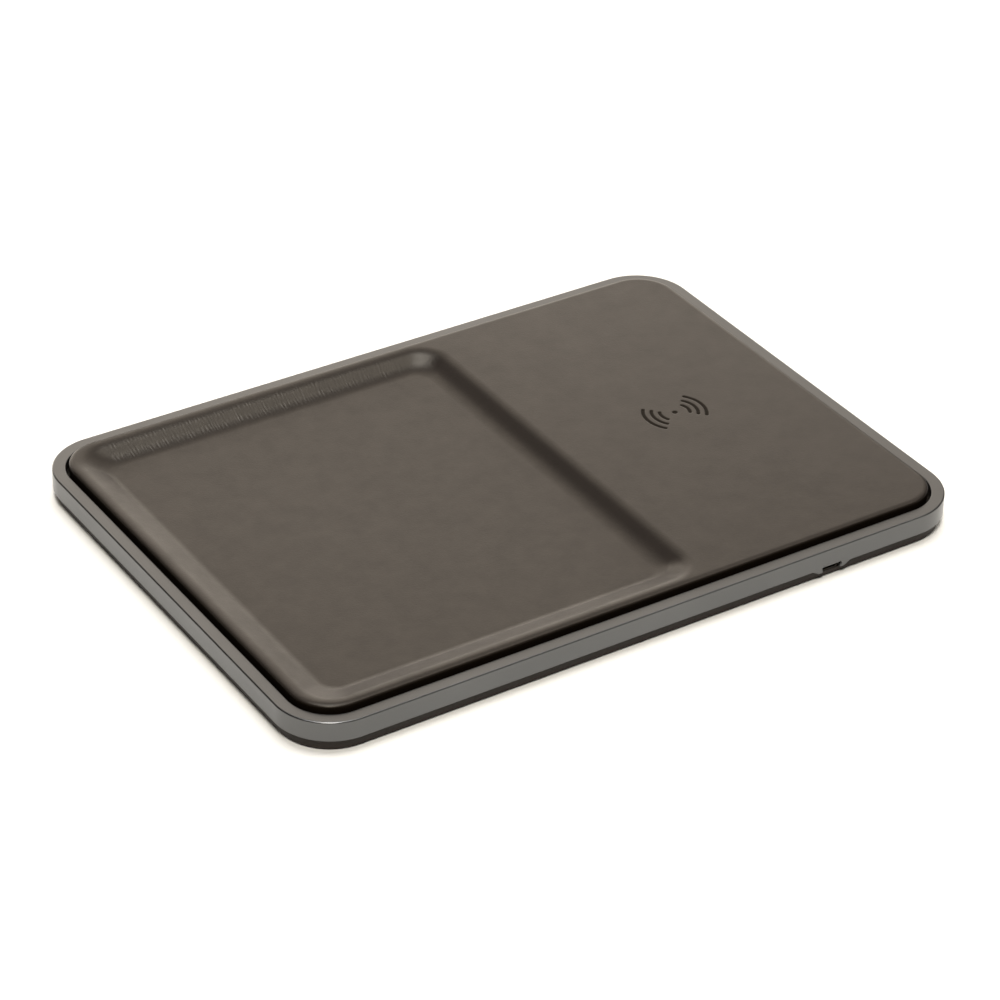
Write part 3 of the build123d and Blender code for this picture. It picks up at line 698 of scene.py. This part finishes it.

# %% [markdown]
# ## Smooth full-grain leather
#
# The leather is dyed dark brown and finished nearly smooth. It has a fine pebble of 0.6 mm, faint clouds
# where the dye took unevenly, and a soft sheen. A pattern of rounded cells makes the pebble, because a
# hide's pores divide it into such cells. Noise makes the clouds, and where they are lighter the surface is
# also polished a little more. The fibres between the pebbles are about 0.05 mm wide and are drawn at
# 0.25 mm, so that they show. Where the darkening attribute is 1, the leather is nearly black and dull with
# no sheen: the pressed sign's own colour, and painted shade on the rim beside the groove.

# %% Finish of the leather
grain_size, fibre_size, dye_cloud = 0.6, 0.25, 8
leather_finish, tree, shader, place = new_finish("smooth_full_grain_leather", IOR=1.4, Sheen_Roughness=0.4)
shader.inputs["Specular Tint"].default_value = hex_colour("#fff6e6")
grain = add(tree, "TexVoronoi", {"Vector": place, "Scale": 1 / (grain_size * MM), "Randomness": 1.0},
            feature="SMOOTH_F1")
fibre = add(tree, "TexNoise", {"Vector": place, "Scale": 1 / (fibre_size * MM), "Detail": 3.0})
cloud = add(tree, "TexNoise", {"Vector": place, "Scale": 1 / (dye_cloud * MM), "Detail": 5.0,
                               "Roughness": 0.7})
tone = two_tones(tree, cloud.outputs["Fac"], "#1a1513", "#241f1c")
polish = add(tree, "MapRange", {"Value": cloud.outputs["Fac"], "From Min": TONE_LOW, "From Max": TONE_HIGH,
                                "To Min": 0.38, "To Max": 0.32})
tree.links.new(polish.outputs["Result"], shader.inputs["Roughness"])
# Painted shade on the rim by the groove, and the sign's own colour: near black, dull, no sheen.
dark = add(tree, "Attribute", attribute_name="pressed_mark_and_edge_shade")
colour = add(tree, "Mix", {"Factor": dark.outputs["Fac"], "A": tone, "B": hex_colour("#120d08")},
             data_type="RGBA")
gloss = add(tree, "MapRange", {"Value": dark.outputs["Fac"], "To Min": 0.5, "To Max": 0.05})
tree.links.new(gloss.outputs["Result"], shader.inputs["Specular IOR Level"])
sheen = add(tree, "MapRange", {"Value": dark.outputs["Fac"], "To Min": 0.06, "To Max": 0.0})
tree.links.new(sheen.outputs["Result"], shader.inputs["Sheen Weight"])
height = add(tree, "Math", {0: grain.outputs["Distance"], 1: fibre.outputs["Fac"]}, operation="ADD")
relief = add(tree, "Bump", {"Height": height.outputs[0], "Strength": 0.5, "Distance": 0.03 * MM})
tree.links.new(colour.outputs["Result"], shader.inputs["Base Color"])
tree.links.new(relief.outputs["Normal"], shader.inputs["Normal"])
dress(leather, leather_finish)
print("dressed the leather")

# %% [markdown]
# ## Finishes of the measured parts
#
# The base, the pad, the socket and the electronics inside keep their measured meshes. Most of them are
# moulded, sintered or plated, and they look alike in build: a tone that drifts over a few centimetres or
# millimetres, and a fine relief. One function makes that from two colours and two real sizes. The sizes are
# the drift of the tone and the grain, and grain finer than 0.3 mm is drawn at 0.3 mm so that it shows.


# %% A toned finish with a grain
def toned_finish(name, dark, light, drift, grain, relief_height, **sockets):
    """Colour drifts between two tones over the drift size, and the grain size sets the relief, all in mm."""
    material, tree, shader, place = new_finish(name, **sockets)
    drifting = add(tree, "TexNoise", {"Vector": place, "Scale": 1 / (drift * MM), "Detail": 3.0})
    tone = two_tones(tree, drifting.outputs["Fac"], dark, light)
    pattern = add(tree, "TexNoise", {"Vector": place, "Scale": 1 / (grain * MM), "Detail": 2.0})
    relief = add(tree, "Bump", {"Height": pattern.outputs["Fac"], "Strength": 0.5,
                                "Distance": relief_height * MM})
    tree.links.new(tone, shader.inputs["Base Color"])
    tree.links.new(relief.outputs["Normal"], shader.inputs["Normal"])
    return material


# %% Finishes from real sizes
# Moulded ABS has a fine spark texture. Silicone is softer and duller. Ferrite is sintered and grainy. Chips
# are moulded epoxy. Solder mask is a smooth green gloss. Metals are plated, and keep the default IOR.
moulded = {"IOR": 1.53}
bare_metal = {"Metallic": 1.0}
finishes = {
    "base_tray": toned_finish("spark_textured_abs", "#211a14", "#261e18", 20, 0.35, 0.03, Roughness=0.55,
                              Specular_IOR_Level=0.3),
    "top_panel": toned_finish("moulded_abs_black", "#1c1b1a", "#201f1e", 20, 0.35, 0.02, Roughness=0.45,
                              **moulded),
    "coil_carrier": toned_finish("moulded_nylon_black", "#262625", "#2b2b2a", 12, 0.3, 0.02, Roughness=0.5,
                                 **moulded),
    "base_pad": toned_finish("moulded_silicone", "#2b2927", "#2f2d2b", 15, 0.5, 0.02, Roughness=0.75,
                             IOR=1.41),
    "ferrite_plate": toned_finish("sintered_ferrite", "#2c2c2d", "#343435", 5, 0.3, 0.02, Roughness=0.6,
                                  IOR=1.9),
    "shield_plate": toned_finish("rolled_aluminium", "#dcdcdd", "#e4e4e5", 8, 0.3, 0.005, Roughness=0.35,
                                 **bare_metal),
    "circuit_board": toned_finish("solder_mask_green", "#12391f", "#174427", 6, 0.5, 0.01, Roughness=0.3,
                                  **moulded),
    "controller_chip": toned_finish("moulded_epoxy", "#1d1d1e", "#232324", 3, 0.3, 0.01, Roughness=0.55,
                                    **moulded),
    "capacitor": toned_finish("fired_ceramic", "#a48763", "#b0946f", 2, 0.3, 0.01, Roughness=0.35, IOR=1.6),
    "coil_leads": toned_finish("pvc_jacket_red", "#a3271f", "#ad2d24", 6, 0.5, 0.01, Roughness=0.35,
                               **moulded),
    "charging_coil": toned_finish("enamelled_copper", "#b9714a", "#c67c52", 3, 0.3, 0.01, Roughness=0.25,
                                  **bare_metal),
    "screw": toned_finish("zinc_plated_steel", "#9a9b9e", "#a7a8ab", 2, 0.3, 0.01, Roughness=0.3,
                          **bare_metal),
    "socket_shell": toned_finish("black_nickel_steel", "#332f2b", "#3c3833", 3, 0.3, 0.01, Roughness=0.4,
                                 **bare_metal),
    "contacts": toned_finish("gold_plated_contacts", "#d6a650", "#e0b05a", 2, 0.3, 0.005, Roughness=0.25,
                             **bare_metal),
}
print("finishes:", len(finishes))

# %% Dress the measured parts
# Pieces that share a finish with another.
shared = {
    "base_screws": "screw", "carrier_screws": "screw", "board_screws": "screw", "crystal": "screw",
    "socket_insulator": "controller_chip", "socket_contacts": "contacts", "thermistor": "controller_chip",
    "filter_inductor": "ferrite_plate", "inductor_winding": "charging_coil",
    "power_transistors": "controller_chip", "chip_resistors": "controller_chip",
    "resonance_capacitors": "capacitor", "filter_capacitors": "capacitor",
    "frame": anodised, "leather_cover": leather_finish,
}
for name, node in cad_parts.items():
    finish = shared.get(name, name)
    dress(node, finishes[finish] if isinstance(finish, str) else finish)
print("dressed measured parts:", len(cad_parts))

# %% [markdown]
# ## Floor, light and camera
#
# The tray is shown on a white sweep under seven square lamps. A glossy surface shows whatever stands in the
# mirrored direction of the view, so each lamp is placed for the slopes that mirror it. The level leather
# mirrors the pair behind, and slopes that fall away from the camera mirror the low pair. The dish's back
# wall mirrors the lamp high on the right, and its rounded corners the overhead one. A small lamp above the
# camera makes the glint on rounded edges. The metal's outer wall mirrors the floor, which burns out to
# white, apart from a thin shadow where the tray stands. The camera looks down at about a third of a right
# angle.

# %% Floor
floor_mesh = bpy.data.meshes.new("floor")
floor_half = 4.0
floor_corners = [(-floor_half, -floor_half, 0), (floor_half, -floor_half, 0), (floor_half, floor_half, 0),
                 (-floor_half, floor_half, 0)]
floor_mesh.from_pydata(floor_corners, [], [(0, 1, 2, 3)])
floor = bpy.data.objects.new("floor", floor_mesh)
bpy.context.scene.collection.objects.link(floor)
paper, tree, shader, place = new_finish("white_paper_sweep", Roughness=0.9)
shader.inputs["Base Color"].default_value = hex_colour("#edece8")
shader.inputs["Specular IOR Level"].default_value = 0.0
dress(floor, paper)
print("floor's side in metres:", 2 * floor_half)

# %% World
world = bpy.data.worlds.new("studio")
world.use_nodes = True
sky = world.node_tree.nodes["Background"]
sky.inputs["Color"].default_value = hex_colour("#ffffff")
sky.inputs["Strength"].default_value = 0.02
bpy.context.scene.world = world
print("sky strength:", round(sky.inputs["Strength"].default_value, 3))

# %% Lamps
softbox_distance = 2.5
warm, warm_white, white = "#fff4e6", "#fffaf2", "#ffffff"
# Name, azimuth from straight behind towards the right, elevation, side in metres, power in watts, colour.
softboxes = (
    ("low_back", 0, 10, 1.2, 17.7, warm), ("low_right", 35, 10, 1.2, 10.9, warm),
    ("back", 20, 35, 1.2, 7.9, warm), ("back_right", 52, 35, 1.2, 5.5, warm),
    ("high_right", 105, 60, 1.2, 15.5, warm_white), ("overhead", 0, 86, 1.2, 44.0, white),
    ("front", -146, 57, 0.5, 47.0, warm_white),
)


def softbox(name, azimuth, elevation, side, power, colour):
    """A square lamp that faces the tray's middle."""
    turn, lift = math.radians(azimuth), math.radians(elevation)
    toward = Vector((math.sin(turn) * math.cos(lift), math.cos(turn) * math.cos(lift), math.sin(lift)))
    lamp = bpy.data.lights.new(name, "AREA")
    lamp.size = side
    lamp.energy = power
    lamp.color = hex_colour(colour)[:3]
    box = bpy.data.objects.new(name, lamp)
    facing = toward.to_track_quat("Z", "Y").to_matrix().to_4x4()
    box.matrix_world = Matrix.Translation(toward * softbox_distance) @ facing
    bpy.context.scene.collection.objects.link(box)


for row in softboxes:
    softbox(*row)

# %% Camera
camera_azimuth, camera_elevation, camera_roll = (math.radians(v) for v in (-33.38, 33.14, 1.34))
camera_place = Vector((-0.51447, -0.78230, 0.61355))
sensor, focal_share = 36.0, 3.5252
back = Vector((math.sin(camera_azimuth) * math.cos(camera_elevation),
               -math.cos(camera_azimuth) * math.cos(camera_elevation), math.sin(camera_elevation)))
right = (-back).cross(Vector((0, 0, 1))).normalized()
up = right.cross(-back)
rolled_right = right * math.cos(camera_roll) + up * math.sin(camera_roll)
rolled_up = up * math.cos(camera_roll) - right * math.sin(camera_roll)
lens = bpy.data.cameras.new("camera")
lens.sensor_width = sensor
lens.lens = sensor * focal_share
lens.clip_start = 0.05
camera = bpy.data.objects.new("camera", lens)
camera_turn = Matrix((rolled_right, rolled_up, back)).transposed().to_4x4()
camera.matrix_world = Matrix.Translation(camera_place) @ camera_turn
bpy.context.scene.collection.objects.link(camera)
bpy.context.scene.camera = camera
bpy.context.scene.view_settings.view_transform = "Standard"
print("lens in mm:", round(lens.lens, 1))
